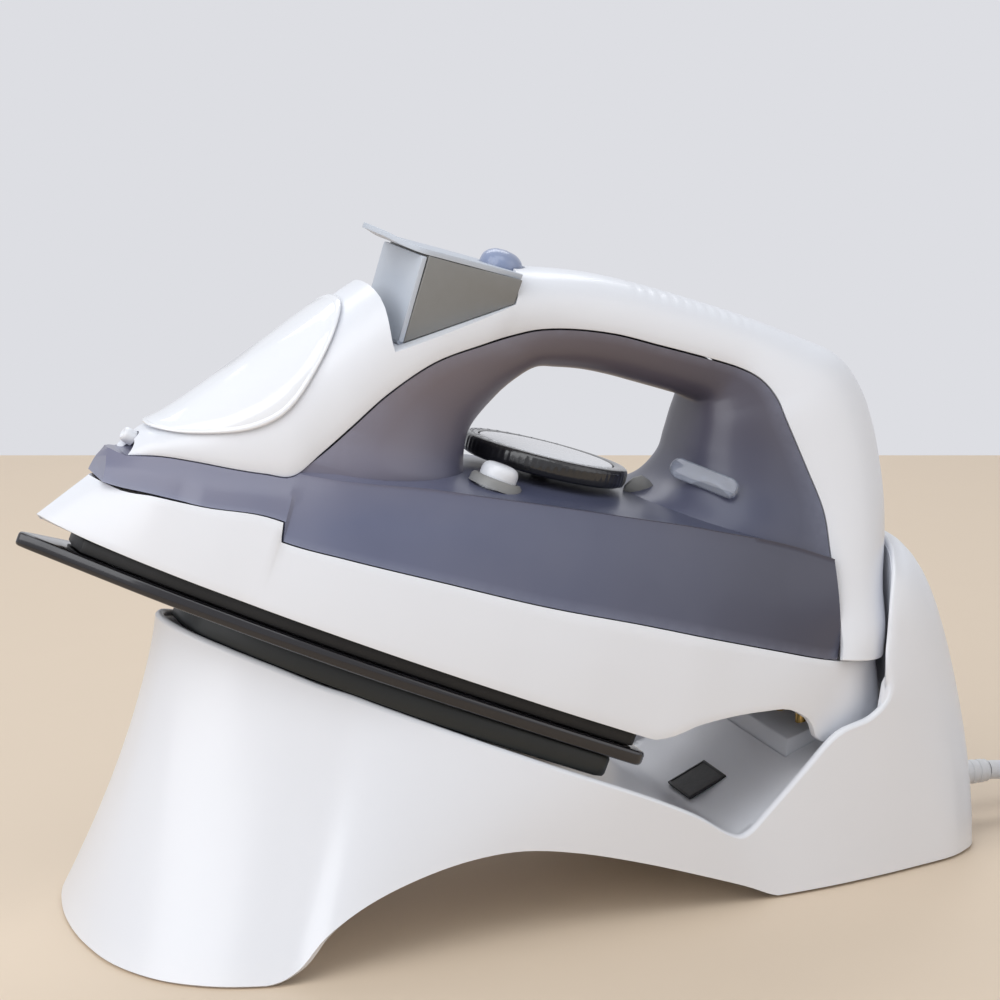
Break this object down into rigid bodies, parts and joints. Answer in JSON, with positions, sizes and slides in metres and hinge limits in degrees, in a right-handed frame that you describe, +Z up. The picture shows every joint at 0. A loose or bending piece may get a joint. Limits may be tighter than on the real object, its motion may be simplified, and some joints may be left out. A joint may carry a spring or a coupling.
{
  "type": "cordless steam iron with stand",
  "caption": "Cordless steam iron docked nose-up on a saddle-shaped charging stand, with a translucent water tank, temperature dial, steam and spray buttons, and a coiled mains cord.",
  "frame": {"origin": "on the floor under the middle of the iron on its stand, measured without the cord", "axes": "+X towards the iron's heel and the stand's rear housing, where the cord leaves; the tip points to -X; +Y to the iron's far side; +Z up"},
  "size_m": [0.4377, 0.1645, 0.2185],
  "materials": {
    "white_plastic": "glossy cool white moulded plastic",
    "tank_plastic": "smoky translucent blue-grey plastic",
    "panel_gloss": "polished pale plastic",
    "grey_plastic": "satin mid grey plastic",
    "button_plastic": "satin blue-grey plastic",
    "black_plastic": "fine-grained black plastic",
    "pad_rubber": "dull dark rubber",
    "sole_coating": "glossy near-black coating on aluminium",
    "cast_aluminium": "as-cast aluminium",
    "bright_steel": "drawn steel",
    "contact_brass": "plated brass",
    "ceramic": "unglazed ceramic",
    "clear_plastic": "clear plastic",
    "board": "green circuit board",
    "cord_white": "soft white sheathing"
  },
  "bodies": {
    "stand": {"base_shell": "white_plastic", "base_bottom_cover": "grey_plastic", "rubber_foot_1": "pad_rubber", "rubber_foot_2": "pad_rubber", "rubber_foot_3": "pad_rubber", "rubber_foot_4": "pad_rubber", "rest_pad": "pad_rubber", "deck_plate": "black_plastic", "terminal_holder": "white_plastic", "contact_spring_1": "bright_steel", "contact_spring_2": "bright_steel", "contact_spring_3": "bright_steel", "power_board": "board", "cord_clamp": "black_plastic", "cord_bush": "cord_white", "power_cord": "cord_white", "cord_coil": "cord_white", "cord_tail": "cord_white", "cord_tie": "cord_white", "plug": "cord_white"},
    "iron": {"filler_neck": "white_plastic", "front_panel": "panel_gloss", "handle_liner": "tank_plastic", "heat_shield": "black_plastic", "heating_element": "bright_steel", "iron_contact_1": "contact_brass", "iron_contact_2": "contact_brass", "iron_contact_3": "contact_brass", "iron_terminal_block": "black_plastic", "iron_wiring": "cord_white", "lower_body": "white_plastic", "neck_block": "grey_plastic", "neck_cap": "grey_plastic", "pilot_lamp": "clear_plastic", "pilot_lens": "clear_plastic", "pump_spring": "bright_steel", "sole_casting": "cast_aluminium", "sole_screw_1": "bright_steel", "sole_screw_2": "bright_steel", "soleplate": "sole_coating", "spray_nozzle": "white_plastic", "spray_pump_body": "white_plastic", "spray_tube": "clear_plastic", "steam_chamber_cover": "cast_aluminium", "thermal_fuse": "bright_steel", "thermostat": "ceramic", "upper_shell": "white_plastic", "valve_spring": "bright_steel", "water_tank": "tank_plastic"},
    "filler_lid": {"filler_lid": "grey_plastic"},
    "spray_button": {"spray_button": "button_plastic", "spray_piston": "white_plastic"},
    "steam_button": {"steam_button": "white_plastic", "steam_valve_rod": "bright_steel"},
    "dial": {"dial": "black_plastic", "dial_cap": "panel_gloss", "thermostat_spindle": "white_plastic"},
    "contact_pin_1": {"contact_pin_1": "contact_brass"},
    "contact_pin_2": {"contact_pin_2": "contact_brass"},
    "contact_pin_3": {"contact_pin_3": "contact_brass"}
  },
  "joints": [
    {"name": "iron_lift", "type": "slide", "parent": "stand", "child": "iron", "axis": [0, 0, 1], "range_m": [0, 0.16]},
    {"name": "filler_lid_hinge", "type": "hinge", "parent": "iron", "child": "filler_lid", "pos_m": [-0.04397, 0, 0.18375], "axis": [0, -1, 0], "range_deg": [0, 20]},
    {"name": "spray_press", "type": "slide", "parent": "iron", "child": "spray_button", "axis": [-0.3746, 0, -0.9272], "range_m": [0, 0.0035], "stiffness_N_per_m": 200, "springref_m": -0.01, "deforming": ["pump_spring"]},
    {"name": "steam_press", "type": "slide", "parent": "iron", "child": "steam_button", "axis": [-0.3746, 0, -0.9272], "range_m": [0, 0.0025], "stiffness_N_per_m": 150, "springref_m": -0.01, "deforming": ["valve_spring"]},
    {"name": "dial_turn", "type": "hinge", "parent": "iron", "child": "dial", "pos_m": [0.01047, 0, 0.13964], "axis": [0.2588, 0, 0.9659], "range_deg": [-120, 120]},
    {"name": "pin_1_press", "type": "slide", "parent": "stand", "child": "contact_pin_1", "axis": [0, 0, -1], "range_m": [0, 0.003], "stiffness_N_per_m": 150, "springref_m": -0.006, "deforming": ["contact_spring_1"]},
    {"name": "pin_2_press", "type": "slide", "parent": "stand", "child": "contact_pin_2", "axis": [0, 0, -1], "range_m": [0, 0.003], "stiffness_N_per_m": 150, "springref_m": -0.006, "deforming": ["contact_spring_2"]},
    {"name": "pin_3_press", "type": "slide", "parent": "stand", "child": "contact_pin_3", "axis": [0, 0, -1], "range_m": [0, 0.003], "stiffness_N_per_m": 150, "springref_m": -0.006, "deforming": ["contact_spring_3"]}
  ]
}
